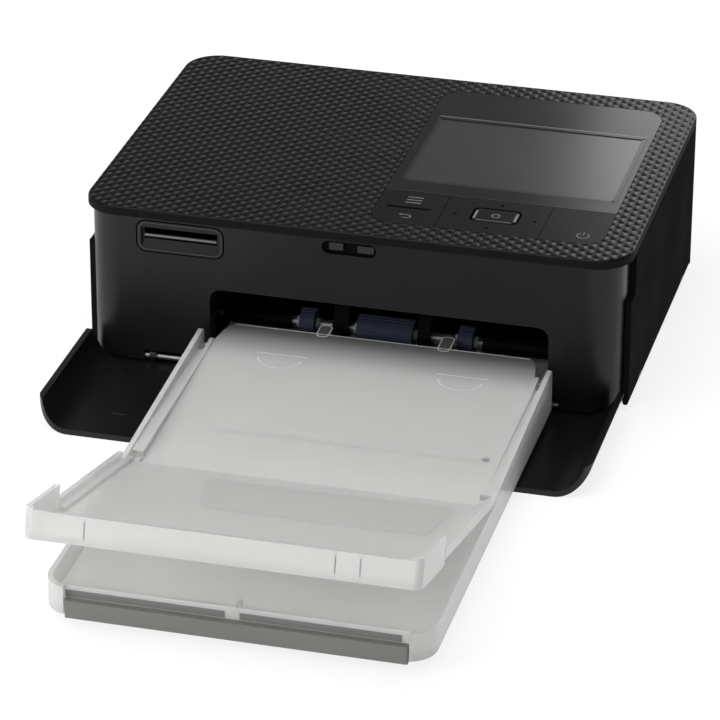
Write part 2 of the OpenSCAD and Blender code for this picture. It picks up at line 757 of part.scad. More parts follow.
module inner_lid() {
    l = 94;
    w0 = fold_y + tray_step_y;
    color("#dfe1e0") inner_frame() difference() {
        union() {
            translate([0, 0, -1.4]) linear_extrude(1.4)
                polygon([[-54, 0.6], [54, 0.6], [54, l - 12], [52.6, l - 4], [50.4, l], [-50.4, l], [-52.6, l - 4], [-54, l - 12]]);
            for (t = [[-20.2, 5.9], [20.9, 7.9]])
                translate([t[0], l - 2 + t[1] / 2, -1.4]) slab(4.5, 4 + t[1], 1.4, 1.8);
            for (s = [-1, 1]) {
                along_x(s * (tray_half - 0.8) - 0.8, s * (tray_half - 0.8) + 0.8)
                    polygon([[-4.6, 2.6], [0.5, 1.75], [w0, 1.75 - w0 * tan(inner_slope)],
                             [w0, 2.2], [w0 - 1, 3.2], [-4.6, 3.2]]);
                along_x(s * (tray_half - 2.75) - 2.75, s * (tray_half - 2.75) + 2.75)
                    polygon([[3.6, 1.6], [76, 1.75 - 76 * tan(inner_slope)], [76, 2.75 - 76 * tan(inner_slope)], [3.6, 2.6]]);
                along_x(s * (insert_half - 0.75) - 0.75, s * (insert_half - 0.75) + 0.75)
                    polygon([[3.6, -1.4], [l - 12, -1.4], [l - 12, 0.5], [70, 0.5], [3.6, 2.6]]);
                along_x(s * (tray_half - 4.7) - 0.9, s * (tray_half - 4.7) + 0.9) {
                    circle(ear_r - 0.2);
                    polygon([[0, -1.4], [6, -1.4], [6, 0], [0, 1.6]]);
                }
            }
        }
        rod_x(pin_r + run, -tray_half, tray_half, 0, 0);
    }
}

// The output lid's own frame: hinge line at the origin, length along -Y
module lid_frame() { placed() translate([tray_x, -fold_y, fold_z]) rotate([-lid_tilt, 0, 0]) children(); }

module output_lid() {
    half = tray_half;
    ear_l0 = lid_len - lid_ear_l;
    color("#dfe1e0") lid_frame() difference() {
        union() {
            translate([-half + 2.2, -lid_len + 6, 0]) cube([2 * half - 4.4, lid_len - 8.4, 1.4]);
            intersection() {
                difference() {
                    translate([0, -lid_len + 60, 0]) slab(2 * half, 120, lid_corner_h, lid_r);
                    translate([0, -lid_len + 60 + tray_t, 1.4]) slab(2 * (half - tray_t), 120, over * 3, lid_r - tray_t);
                }
                translate([-half, -lid_len, 0]) cube([2 * half, lid_ear_l, lid_corner_h]);
            }
            for (s = [-1, 1]) {
                translate([s * (half - 0.8) - 0.8, -ear_l0 - 1.2, 1.7]) cube([tray_t, ear_l0 - 5, lid_side_h - 1.7]);
                translate([s * (half - 1.9) - 1.9, -ear_l0 - 1.2, 1.7]) cube([3.8, ear_l0 - 5, 1.2]);
                translate([s * (half - 3.05) - 0.8, -ear_l0 - 1.2, 0]) cube([1.6, ear_l0 - 1.4, 2.9]);
                along_x(s * (half - 2.8) - 0.6, s * (half - 2.8) + 0.6) {
                    circle(ear_r - 0.2);
                    polygon([[0, -1.8], [-6, 0], [-6, 1.4], [0, 1.6]]);
                }
            }
        }
        translate([-half + lid_r, -lid_len - over, lid_lip_h]) cube([2 * (half - lid_r), over * 2, over]);
        for (s = [-1, 1]) translate([s * half - over, -ear_l0 - 0.6, 2.4]) cube([2 * over, 1, over * 3]);
        rod_x(pin_r + run, -tray_half, tray_half, 0, 0);
    }
}

// ---- Works ----

module shaft_holes() {
    for (b = bearings) translate([b[0], feed_z]) circle(bush_r);
    translate([capstan_y, pinch_z]) circle(1.2 + run);
    translate([30, 35]) circle(1.8 + grip);
}

module left_wall2d() {
    difference() {
        polygon([[wall_front, base_top], [wall_back, base_top], [wall_back, wall_top], [38, wall_top], [38, card_z - 3.3],
                 [wall_front, card_z - 3.3]]);
        shaft_holes();
        for (y = [spool_front_y, spool_back_y]) translate([y, spool_z]) circle(1.5 + run);
    }
}

module right_wall2d() {
    difference() {
        translate([wall_front, base_top]) square([wall_back - wall_front, wall_top - base_top]);
        shaft_holes();
        for (y = [spool_front_y, spool_back_y]) translate([y, spool_z]) circle(drum_r + 0.8);
        translate([spool_front_y, rail_z - 0.5]) square([spool_back_y - spool_front_y, 5.3]);
    }
}

module chassis() {
    color("#2b2c2e") placed() difference() {
        union() {
            along_x(wall_l - wall_t, wall_l) left_wall2d();
            along_x(wall_r, wall_r + wall_t) right_wall2d();
            translate([wall_l - 0.5, wall_front, 34]) cube([wall_r - wall_l + 1, 3, 4]);
            translate([wall_l - 0.5, wall_back - 6, 26]) cube([wall_r - wall_l + 1, 4, 6]);
            for (y = screw_y) {
                translate([screw_x[0] - 4, y - 4, base_top]) cube([wall_l - screw_x[0] + 3, 8, 2]);
                translate([wall_r + 1, y - 4, base_top]) cube([screw_x[1] - wall_r + 3, 8, 2]);
            }
            rod_x(1.5, gear_x0 - 0.4, wall_l - wall_t + 0.5, idler_y, idler_z);
            for (i = [0:2]) rod_x(2, shaft_x0 - 0.4, wall_l - wall_t + 0.5, platen_y + [-14, 14, 14][i], post_z[i]);
        }
        for (x = screw_x, y = screw_y) translate([x, y, base_top - over]) cylinder(r = 1.3 + grip, h = 2 * over);
    }
}

module paper_guide() {
    color("#1d1d1f") placed() along_x(wall_l + 0.2, wall_r - 0.2)
        polygon([[insert_d + 2.5, base_top], [insert_d + 2.5, 7.4], [insert_d + 4, 8.6], [platen_y - 7, 17.4],
                 [platen_y - 5.6, 17.4], [platen_y - 5.6, 15.8], [insert_d + 5.5, 6.2], [insert_d + 5.5, base_top]]);
}

module shaft_bushes() {
    color("#c8bfa8") placed() for (b = bearings, x = [wall_l - wall_t, wall_r])
        tube_x(bush_r - grip, b[1] + run, x - 0.4, x + wall_t + 0.4, b[0], feed_z);
}

module feed_shaft() { color("#b9bcbe") placed() rod_x(shaft_r, shaft_x0, shaft_x1, feed_y, feed_z); }

small_l = 5;
big_l = 19;
roller_x = [tray_x - 30.3, tray_x - 10.7, tray_x + 23.7];
roller_len = [small_l, big_l, small_l];

function ribbed(n, r, d) = [for (i = [0:2 * n - 1]) each [
    [(r - (i % 2) * d) * cos(i * 180 / n), (r - (i % 2) * d) * sin(i * 180 / n)],
    [(r - (i % 2) * d) * cos((i + 0.8) * 180 / n), (r - (i % 2) * d) * sin((i + 0.8) * 180 / n)]]];

module feed_rollers() {
    color("#27324e") placed() for (i = [0:2]) difference() {
        translate([0, feed_y, feed_z]) along_x(roller_x[i], roller_x[i] + roller_len[i])
            polygon(ribbed(22, feed_r, 0.35));
        rod_x(shaft_r + grip, roller_x[i] - over, roller_x[i] + roller_len[i] + over, feed_y, feed_z);
    }
}

// Black sleeves on the shaft: the two long outer ones and the two short ones beside the big roller
sleeve_spans = [[wall_l + 2.2, roller_x[0] - 3.4], [roller_x[1] - 8.4, roller_x[1] - 3.2],
                [roller_x[1] + big_l + 1.6, roller_x[1] + big_l + 5.8], [roller_x[2] + small_l + 3.2, wall_r - 2.2]];

module feed_sleeves() {
    color("#19191a") placed() for (i = [0, 3])
        tube_x(sleeve_r, shaft_r + grip, sleeve_spans[i][0], sleeve_spans[i][1], feed_y, feed_z);
}

module feed_gear() { color("#e4e2da") placed() gear(feed_teeth, feed_phase, shaft_r, feed_y, feed_z, 3); }

arm_at = [30, 35];

module arm2d() {
    circle(sleeve_r + 0.5);
    translate(arm_at - [feed_y, feed_z]) circle(3.4);
    polygon([[-2.9, 1.4], [2.9, -1.2], [arm_at[0] - feed_y + 3, arm_at[1] - feed_z - 1.4],
             [arm_at[0] - feed_y - 2.9, arm_at[1] - feed_z + 1.6]]);
}

module feed_arm() {
    color("#19191a") placed() difference() {
        union() {
            for (i = [1, 2]) translate([0, feed_y, feed_z])
                along_x(sleeve_spans[i][0], sleeve_spans[i][1]) arm2d();
            rod_x(3.4, sleeve_spans[1][0], sleeve_spans[2][1], arm_at[0], arm_at[1]);
        }
        rod_x(shaft_r + run, wall_l, wall_r, feed_y, feed_z);
        rod_x(1.8 + grip, wall_l, wall_r, arm_at[0], arm_at[1]);
    }
}

module arm_rod() { color("#b9bcbe") placed() rod_x(1.8, wall_l - wall_t, wall_r + wall_t, arm_at[0], arm_at[1]); }

module idler_gear() { color("#e4e2da") placed() gear(idler_teeth, idler_phase, 1.5 + run - grip, idler_y, idler_z, 4); }

module platen_shaft() { color("#b9bcbe") placed() rod_x(roller_shaft_r, shaft_x0, shaft_x1, platen_y, feed_z); }

module platen_roller() {
    color("#2b2b2d") placed() tube_x(platen_r, roller_shaft_r + grip, print_x0, print_x1, platen_y, feed_z);
}

module platen_gear() { color("#e4e2da") placed() gear(platen_teeth, 0, roller_shaft_r, platen_y, feed_z, 4); }

module capstan() {
    color("#b9bcbe") placed() {
        rod_x(roller_shaft_r, shaft_x0, shaft_x1, capstan_y, feed_z);
        rod_x(capstan_r, print_x0, print_x1, capstan_y, feed_z);
    }
}

module capstan_gear() { color("#e4e2da") placed() gear(capstan_teeth, 180 / capstan_teeth, roller_shaft_r, capstan_y, feed_z, 4); }

module pinch_roller() {
    color("#3a3a3c") placed() {
        rod_x(1.2, wall_l - wall_t, wall_r + wall_t, capstan_y, pinch_z);
        rod_x(pinch_r, print_x0, print_x1, capstan_y, pinch_z);
    }
}

bracket_x = shaft_x0 - 0.4;

module motor_bracket() {
    color("#a3a6a8") placed() difference() {
        along_x(bracket_x - 1.6, bracket_x) translate([platen_y, (bracket_lo + bracket_hi) / 2])
            slab2d(36, bracket_hi - bracket_lo, 3);
        rod_x(3.2 + grip, bracket_x - over, bracket_x + over, platen_y, motor_z);
    }
}

module motor() {
    color("#9fa2a4") placed() {
        rod_x(motor_r, bracket_x - 1.6 - motor_l, bracket_x - 1.6, platen_y, motor_z);
        rod_x(3.2, bracket_x - 2, bracket_x - 0.2, platen_y, motor_z);
    }
}

module motor_pinion() {
    color("#c9b37a") placed() {
        translate([0, platen_y, motor_z]) rotate([pinion_phase, 0, 0]) along_x(gear_x0, gear_x1)
            polygon(gear_outline(pinion_teeth, tooth_m));
        rod_x(3, gear_x1 - 1, gear_x1 + 0.8, platen_y, motor_z);
        rod_x(1, bracket_x - 0.1, gear_x0 + 1, platen_y, motor_z);
    }
}

module thermal_head() {
    color("#4b4f55") placed() along_x(print_x0, print_x1)
        polygon([[platen_y - 3.6, head_z + 0.4], [platen_y - 2, head_z], [platen_y + 2, head_z], [platen_y + 7, head_z + 0.4],
                 [platen_y + 7, head_z + 3], [platen_y - 3.6, head_z + 3]]);
}

module head_beam() {
    color("#7d8184") placed() along_x(wall_l, wall_r)
        translate([platen_y + 3, head_z + 3]) square([12, 5]);
}

sink_l = print_l - 9;

module heat_sink() {
    color("#a7aaac") placed() {
        translate([tray_x - sink_l / 2, platen_y + 3, head_z + 8]) cube([sink_l, 12, 1.5]);
        for (i = [0:4]) translate([tray_x - sink_l / 2, platen_y + 3 + i * 2.7, head_z + 8]) cube([sink_l, 1.2, 13]);
    }
}

module ribbon_cassette() {
    color("#dcdcd6") placed() difference() {
        union() {
            for (y = [spool_front_y, spool_back_y]) rod_x(drum_r, print_x0 - 0.5, print_x1 + 0.5, y, spool_z);
            for (x = [print_x0 - 0.5, print_x1 - 1.5])
                translate([x, spool_front_y, rail_z]) cube([2, spool_back_y - spool_front_y, 4.3]);
        }
        for (y = [spool_front_y, spool_back_y]) {
            rod_x(drum_r - 1.2, print_x0 + 1.5, print_x1 - 1.5, y, spool_z);
            rod_x(2.5 + run, wall_l, wall_r, y, spool_z);
        }
        translate([print_x0 + 3, spool_front_y - 2, spool_z - 14]) cube([print_l - 6, 9, 5]);
        translate([print_x0 + 3, spool_back_y - 7, spool_z - 14]) cube([print_l - 6, 9, 5]);
    }
}

module spool(y, roll_r) {
    rod_x(2.5, print_x0 - 3, print_x1 + 3, y, spool_z);
    rod_x(roll_r, print_x0 + 2.5, print_x1 - 2.5, y, spool_z);
}

module supply_spool() { color("#3c3f8a") placed() spool(spool_front_y, 8.5); }

module takeup_spool() { color("#5a3c7a") placed() spool(spool_back_y, 6.5); }

module spool_drive(y) {
    difference() {
        union() {
            rod_x(4.4, wall_l + 0.3, print_x0 - 1.2, y, spool_z);
            rod_x(1.5, shaft_x0 + 4, wall_l + 0.5, y, spool_z);
        }
        rod_x(2.5 + grip, print_x0 - 3.02, print_x0, y, spool_z);
    }
}

module supply_drive() { color("#e4e2da") placed() spool_drive(spool_front_y); }

module takeup_drive() { color("#e4e2da") placed() spool_drive(spool_back_y); }

module main_board() {
    color("#1f5a3a") placed() difference() {
        union() {
            translate([(board_x0 + board_x1) / 2, (board_y0 + board_y1) / 2, board_z])
                slab(board_x1 - board_x0, board_y1 - board_y0, board_t + 0.4, 1.5);
            translate([board_x0 + 2.4, board_y0 + 13, board_z]) cube([14, 14, 2.8]);
            translate([board_x0 + 4.4, board_y0 + 35, board_z]) cube([9, 12, 2.5]);
            for (i = [0:2]) translate([board_x0 + 6.4, board_y0 + 61 + i * 8, board_z]) cylinder(r = 3, h = 9);
            translate([board_x1 - 9.2, board_y0 + 59, board_z]) cube([6, 18, 3]);
        }
        for (x = board_posts) translate([x, board_y0 + 5, board_z - over]) cylinder(r = 1.2, h = 3 * over);
    }
}

socket_l = 14;        // length of the sockets behind the rear cover's inner face

module dc_jack() {
    color("#151516") placed() difference() {
        union() {
            translate([jack_x - 4.5, rear_in - socket_l, board_z + board_t + 0.4]) cube([9, socket_l - 0.1, 9.6]);
            rod_y(3.1, rear_in - 0.5, body_d - 0.6, jack_x, jack_z);
        }
        rod_y(2.75, body_d - 0.6 - plug_l, body_d + over, jack_x, jack_z);
    }
}

plug_l = 10.4;

module usb_port() {
    color("#a9acae") placed() difference() {
        along_y(rear_in - socket_l + 5, body_d - 0.8) translate([usb_x, base_top + 6.2]) slab2d(9, 3.2, 1.4);
        along_y(rear_in - socket_l + 7, body_d + over) translate([usb_x, base_top + 6.2]) slab2d(8.2, 2.4, 1);
    }
}

top_cover();
control_panel();
display_window();
display_module();
rocker_key();
nav_key();
ok_key();
power_key();
key_board();
front_bezel();
card_slot_frame();
card_socket();
card_board();
cover_catch();
left_side_cover();
ink_door();
door_pins();
rear_cover();
base();
rubber_feet();
base_screws();
front_cover();
cover_hinge_rods();
paper_tray();
tray_front_bar();
inner_lid();
output_lid();
lid_pins();
lift_plate();
chassis();
paper_guide();
shaft_bushes();
feed_shaft();
feed_rollers();
feed_sleeves();
feed_gear();
feed_arm();
arm_rod();
idler_gear();
platen_shaft();
platen_roller();
platen_gear();
capstan();
capstan_gear();
pinch_roller();
motor();
motor_bracket();
motor_pinion();
thermal_head();
head_beam();
heat_sink();
ribbon_cassette();
supply_spool();
takeup_spool();
supply_drive();
takeup_drive();
main_board();
dc_jack();
usb_port();
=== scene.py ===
# %% [markdown]
# # Compact photo printer, seen from the front right
# The printer's solids come from its construction model and are never moved here. This script gives each of
# them its finish, adds the fine marks that are too thin to be worth a solid, and sets up a plain studio.

# %% Load the printer
import math

import bmesh
import bpy
from mathutils import Matrix, Vector


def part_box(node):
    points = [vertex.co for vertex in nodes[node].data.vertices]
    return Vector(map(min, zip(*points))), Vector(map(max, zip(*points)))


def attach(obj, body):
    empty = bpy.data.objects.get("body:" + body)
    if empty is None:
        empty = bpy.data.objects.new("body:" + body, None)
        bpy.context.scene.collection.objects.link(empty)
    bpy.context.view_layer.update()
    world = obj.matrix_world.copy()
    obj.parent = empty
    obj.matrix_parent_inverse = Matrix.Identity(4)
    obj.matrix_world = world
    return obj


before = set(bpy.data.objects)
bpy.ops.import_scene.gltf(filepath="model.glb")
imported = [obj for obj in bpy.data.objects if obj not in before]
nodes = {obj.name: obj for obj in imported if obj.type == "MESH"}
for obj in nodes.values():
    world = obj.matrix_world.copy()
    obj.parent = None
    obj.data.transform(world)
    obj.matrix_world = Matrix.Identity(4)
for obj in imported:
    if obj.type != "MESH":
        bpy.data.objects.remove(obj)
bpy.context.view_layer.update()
scene = bpy.context.scene
print("nodes:", len(nodes))

# %% [markdown]
# All measures below are in millimetres and start from the printer's front face, from its middle plane and
# from the table. The solids say where that front face lies in the scene, so nothing has to be fitted by
# eye.

# %% Measures in millimetres
MM = 0.001
front_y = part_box("top_cover")[0].y
top_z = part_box("top_cover")[1].z / MM


def at(x, y, z):
    """A point given in the printer's own millimetres, as a place in the scene."""
    return Vector((x * MM, front_y + y * MM, z * MM))


def middle(node):
    """The middle of a solid's box in the printer's own millimetres, to the nearest thousandth."""
    low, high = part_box(node)
    centre = (low + high) / 2 - Vector((0, front_y, 0))
    return [round(v / MM, 3) for v in centre]


def extent(node):
    """How far a solid reaches along each axis, in millimetres."""
    low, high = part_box(node)
    return [round(v / MM, 3) for v in high - low]


print("front face at", round(front_y / MM, 2), "mm, top at", round(top_z, 2), "mm")

# %% [markdown]
# ## The camera
# A long lens a little over a metre away keeps the printer's edges nearly parallel. The camera stands to the
# right of the middle and looks down by 27 degrees, so the top, the front and the whole paper cassette show.
# Its attitude is given by two directions, to its right and to its back. The third follows from them, which
# keeps the axes square.

# %% Camera
CAMERA_PLACE = (299.45, -1141.46, 611.69)
CAMERA_RIGHT = (0.9676, 0.2525, 0.0037)
CAMERA_BACK = (0.2234, -0.8629, 0.4532)
LENS = 201.65
camera_data = bpy.data.cameras.new("Camera")
camera_data.lens = LENS
camera_data.sensor_width = 36
camera_data.clip_start = 0.1
camera_data.clip_end = 20
camera = bpy.data.objects.new("Camera", camera_data)
scene.collection.objects.link(camera)
right = Vector(CAMERA_RIGHT).normalized()
back = Vector(CAMERA_BACK).normalized()
up = back.cross(right).normalized()
right = up.cross(back).normalized()
attitude = Matrix((right, up, back)).transposed().to_4x4()
camera.matrix_world = Matrix.Translation(at(*CAMERA_PLACE)) @ attitude
scene.camera = camera
print("camera lens", LENS, "mm, looking down by", round(math.degrees(math.asin(back.z)), 1), "degrees")

# %% [markdown]
# ## Two helpers for shader trees
# One makes a Math node out of numbers and sockets. The other splits rays in two kinds: the camera, mirrors
# and clear things see one shader, and the light that falls on the object comes from another. World and
# floor both use it, so what is mirrored always agrees with what stands behind.

# %% Helpers for shader trees


def calc(tree, operation, *values):
    """One Math node whose inputs are numbers or sockets."""
    node = tree.nodes.new("ShaderNodeMath")
    node.operation = operation
    for i, value in enumerate(values):
        if isinstance(value, (int, float)):
            node.inputs[i].default_value = value
        else:
            tree.links.new(value, node.inputs[i])
    return node.outputs[0]


def lit_and_seen(tree, output_kind, lit, seen):
    """Camera, glossy and transmission rays meet the shader seen. All other rays meet the shader lit."""
    rays = tree.nodes.new("ShaderNodeLightPath")
    mirrored = calc(tree, "MAXIMUM", rays.outputs["Is Glossy Ray"], rays.outputs["Is Transmission Ray"])
    mix = tree.nodes.new("ShaderNodeMixShader")
    tree.links.new(calc(tree, "MAXIMUM", rays.outputs["Is Camera Ray"], mirrored), mix.inputs[0])
    tree.links.new(lit.outputs[0], mix.inputs[1])
    tree.links.new(seen.outputs[0], mix.inputs[2])
    output = tree.nodes.new(output_kind)
    tree.links.new(mix.outputs[0], output.inputs["Surface"])


# %% [markdown]
# ## The studio
# Black plastic is shown by what it mirrors. The world is a studio whose wall is white near the floor and
# falls off to a dark ceiling, so flat gloss stays dark while every slope that leans back catches the wall.
# As a source of light it is an even grey.

# %% World
WALL_TONES = ((0.0, 1.0), (0.1, 1.0), (0.28, 0.28), (0.42, 0.15), (0.55, 0.10), (1.0, 0.07))  # height, tone
SKY_STRENGTH = 0.44
scene.view_settings.view_transform = "Standard"
world = bpy.data.worlds.new("Studio")
scene.world = world
world.use_nodes = True
sky = world.node_tree
sky.nodes.clear()
sky_way = sky.nodes.new("ShaderNodeTexCoord")
sky_height = sky.nodes.new("ShaderNodeSeparateXYZ")
sky_wall = sky.nodes.new("ShaderNodeValToRGB")
for i, (height, tone) in enumerate(WALL_TONES):
    stop = sky_wall.color_ramp.elements[i] if i < 2 else sky_wall.color_ramp.elements.new(height)
    stop.position = height
    stop.color = (tone, tone, tone, 1)
sky_seen = sky.nodes.new("ShaderNodeBackground")
sky.links.new(sky_way.outputs["Generated"], sky_height.inputs[0])
sky.links.new(sky_height.outputs[2], sky_wall.inputs[0])
sky.links.new(sky_wall.outputs["Color"], sky_seen.inputs["Color"])
sky_light = sky.nodes.new("ShaderNodeBackground")
sky_light.inputs["Color"].default_value = (1, 1, 1, 1)
sky_light.inputs["Strength"].default_value = SKY_STRENGTH
lit_and_seen(sky, "ShaderNodeOutputWorld", sky_light, sky_seen)
print("world with", len(WALL_TONES), "wall tones")

# %% [markdown]
# Three soft lamps give the pale cassette its shape. The first hangs over the table, the second models the
# left walls, and the third is a narrow strip behind, which the display mirrors towards its right end.

# %% Lamps


def lamp(name, place, aim, width, height, power):
    """A rectangular soft lamp at a place, aimed at a point, both in millimetres."""
    data = bpy.data.lights.new(name, "AREA")
    data.shape = "RECTANGLE"
    data.size = width * MM
    data.size_y = height * MM
    data.energy = power
    lamp_object = bpy.data.objects.new(name, data)
    scene.collection.objects.link(lamp_object)
    lamp_object.location = at(*place)
    lamp_object.rotation_euler = (at(*aim) - at(*place)).to_track_quat("-Z", "Y").to_euler()
    lamp_object.visible_camera = False
    print(name, power, "W")


lamp("Lamp over the table", place=(-250, -250, 1300), aim=(0, -20, 0), width=1100, height=1100, power=9)
lamp("Lamp at the front left", place=(-620, -560, 300), aim=(-60, 0, 40), width=420, height=420, power=3.0)
lamp("Lamp behind", place=(190, 590, 265), aim=(60, 80, 50), width=475, height=200, power=0.56)

# %% [markdown]
# The floor is a white sheet. Most of the white that is seen on it, by the camera or in a mirror, is its own
# glow, so the printer's shadow on it stays soft and pale. The light that it sends back to the printer is
# that of plain paper.

# %% Floor
FLOOR_SIZE = 6  # metres from the middle to each edge
PAPER, GLOW, SHADED = 0.82, 0.8, 0.25
floor_mesh = bmesh.new()
bmesh.ops.create_grid(floor_mesh, x_segments=1, y_segments=1, size=FLOOR_SIZE)
floor_data = bpy.data.meshes.new("floor")
floor_mesh.to_mesh(floor_data)
floor_mesh.free()
floor = bpy.data.objects.new("floor", floor_data)
scene.collection.objects.link(floor)
floor_finish = bpy.data.materials.new("white sheet")
floor_finish.use_nodes = True
floor_tree = floor_finish.node_tree
floor_tree.nodes.clear()
floor_paper = floor_tree.nodes.new("ShaderNodeBsdfDiffuse")
floor_paper.inputs["Color"].default_value = (PAPER, PAPER, PAPER, 1)
floor_glow = floor_tree.nodes.new("ShaderNodeEmission")
floor_glow.inputs["Strength"].default_value = GLOW
floor_shaded = floor_tree.nodes.new("ShaderNodeBsdfDiffuse")
floor_shaded.inputs["Color"].default_value = (SHADED, SHADED, SHADED, 1)
floor_seen = floor_tree.nodes.new("ShaderNodeAddShader")
floor_tree.links.new(floor_glow.outputs[0], floor_seen.inputs[0])
floor_tree.links.new(floor_shaded.outputs[0], floor_seen.inputs[1])
lit_and_seen(floor_tree, "ShaderNodeOutputMaterial", floor_paper, floor_seen)
floor_data.materials.append(floor_finish)
print("floor laid")

# %% [markdown]
# ## Shared surface effects
# Moulded plastic is never quite even. One node group makes a fine mould grain and a slow change of tone,
# and every finish below uses it with its own scale. A picture of a surface could do the same, but noise in
# millimetres needs no unwrapping and fits every solid.

# %% Node group: mould grain


def new_group(name, inputs, outputs):
    """An empty shader node group with named sockets. An input is a label, a kind and a value or None."""
    group = bpy.data.node_groups.new(name, "ShaderNodeTree")
    for label, kind, value in inputs:
        socket = group.interface.new_socket(name=label, in_out="INPUT", socket_type=kind)
        if value is not None:
            socket.default_value = value
    for label in outputs:
        group.interface.new_socket(name=label, in_out="OUTPUT", socket_type="NodeSocketFloat")
    return group, group.nodes.new("NodeGroupInput"), group.nodes.new("NodeGroupOutput")


PER_METRE = 1000.0  # object coordinates are in metres, and the sizes of the effects are in millimetres
grain_group, grain_in, grain_out = new_group(
    "Mould grain",
    [("Vector", "NodeSocketVector", None),
     ("Grain size mm", "NodeSocketFloat", 0.25),
     ("Patch size mm", "NodeSocketFloat", 30.0)],
    ["Height", "Tone"])
for label, size, detail in (("Height", "Grain size mm", 3), ("Tone", "Patch size mm", 2)):
    noise = grain_group.nodes.new("ShaderNodeTexNoise")
    noise.inputs["Detail"].default_value = detail
    grain_group.links.new(grain_in.outputs["Vector"], noise.inputs["Vector"])
    scale = calc(grain_group, "DIVIDE", PER_METRE, grain_in.outputs[size])
    grain_group.links.new(scale, noise.inputs["Scale"])
    grain_group.links.new(noise.outputs["Fac"], grain_out.inputs[label])
print("group made:", grain_group.name)

# %% [markdown]
# The top carries rows of low lozenges, each a little lens that is narrow across and longer from front to
# back. Every second row is shifted by half a step. Powers of a cosine make the lens: a high power narrows
# it across, and a low one keeps it long. The second set, on sines, fills the gaps. Walls that don't face up
# stay plain.

# %% Node group: lozenge ribs
NARROW_POWER, LONG_POWER = 8.0, 1.3
FACES_UP = 0.9
rib_group, rib_in, rib_out = new_group(
    "Lozenge ribs",
    [("Vector", "NodeSocketVector", None),
     ("Pitch across mm", "NodeSocketFloat", 5.22),
     ("Pitch along mm", "NodeSocketFloat", 4.32)],
    ["Height"])
split = rib_group.nodes.new("ShaderNodeSeparateXYZ")
rib_group.links.new(rib_in.outputs["Vector"], split.inputs[0])


def phase(axis, pitch):
    """The angle that runs through half a turn for every step of the pattern along an axis."""
    return calc(rib_group, "DIVIDE", calc(rib_group, "MULTIPLY", split.outputs[axis], PER_METRE * math.pi),
                rib_in.outputs[pitch])


across = phase(0, "Pitch across mm")
along = phase(1, "Pitch along mm")


def lenses(wave):
    """One of the two sets of lenses, on a wave kind that is COSINE or SINE."""
    shapes = []
    for angle, power in ((across, NARROW_POWER), (along, LONG_POWER)):
        swing = calc(rib_group, "ABSOLUTE", calc(rib_group, wave, angle))
        shapes.append(calc(rib_group, "POWER", swing, power))
    return calc(rib_group, "MULTIPLY", *shapes)


crest = calc(rib_group, "ADD", lenses("COSINE"), lenses("SINE"))
surface = rib_group.nodes.new("ShaderNodeNewGeometry")
surface_way = rib_group.nodes.new("ShaderNodeSeparateXYZ")
rib_group.links.new(surface.outputs["True Normal"], surface_way.inputs[0])
upward = calc(rib_group, "GREATER_THAN", surface_way.outputs[2], FACES_UP)
rib_group.links.new(calc(rib_group, "MULTIPLY", crest, upward), rib_out.inputs["Height"])
print("group made:", rib_group.name)

# %% [markdown]
# ## Finishes
# A helper makes a Principled material with the mould grain in it: the grain drives a bump, and the slow
# patches shift the tone and the roughness a little. Constant numbers are set on the shader itself.

# %% Finish helper
PATCH_LOW, PATCH_HIGH = 0.3, 0.7  # noise rarely leaves this range


def finish(name, colour, roughness, grain=0.25, bump=0.02, drift=0.12, metallic=0.0, specular=0.5):
    """A Principled material with mould grain. grain is its size and bump its height, both in millimetres.
    drift is the share by which tone and roughness wander."""
    material = bpy.data.materials.new(name)
    material.use_nodes = True
    tree = material.node_tree
    bsdf = tree.nodes["Principled BSDF"]
    bsdf.inputs["Metallic"].default_value = metallic
    bsdf.inputs["Specular IOR Level"].default_value = specular
    coords = tree.nodes.new("ShaderNodeTexCoord")
    group = tree.nodes.new("ShaderNodeGroup")
    group.name = "Mould grain"
    group.node_tree = grain_group
    group.inputs["Grain size mm"].default_value = grain
    tree.links.new(coords.outputs["Object"], group.inputs["Vector"])
    tone = tree.nodes.new("ShaderNodeMix")
    tone.data_type = "RGBA"
    tone.name = "Tone"
    tone.inputs["A"].default_value = [c * (1 - drift) for c in colour] + [1]
    tone.inputs["B"].default_value = [min(1, c * (1 + drift)) for c in colour] + [1]
    tree.links.new(group.outputs["Tone"], tone.inputs["Factor"])
    tree.links.new(tone.outputs["Result"], bsdf.inputs["Base Color"])
    spread = tree.nodes.new("ShaderNodeMapRange")
    spread.name = "Roughness spread"
    spread.inputs["From Min"].default_value = PATCH_LOW
    spread.inputs["From Max"].default_value = PATCH_HIGH
    spread.inputs["To Min"].default_value = roughness * (1 - drift)
    spread.inputs["To Max"].default_value = min(1, roughness * (1 + drift))
    tree.links.new(group.outputs["Tone"], spread.inputs["Value"])
    tree.links.new(spread.outputs["Result"], bsdf.inputs["Roughness"])
    relief = tree.nodes.new("ShaderNodeBump")
    relief.name = "Relief"
    relief.inputs["Strength"].default_value = 1.0
    relief.inputs["Distance"].default_value = bump * MM
    tree.links.new(group.outputs["Height"], relief.inputs["Height"])
    tree.links.new(relief.outputs["Normal"], bsdf.inputs["Normal"])
    return material


def dress(material, *names):
    """Puts a material in every slot of some of the printer's solids."""
    for name in names:
        if not nodes[name].material_slots:
            nodes[name].data.materials.append(material)
        for mesh_slot in nodes[name].material_slots:
            mesh_slot.material = material
    print(material.name, "on", ", ".join(names))


# %% [markdown]
# The top's lozenges are a second bump over the mould grain. They could be cut in the solid, but well over a
# thousand of them would make it very heavy, and at this size a bump can't be told from a cut. The upright
# edge of the cover is matt.

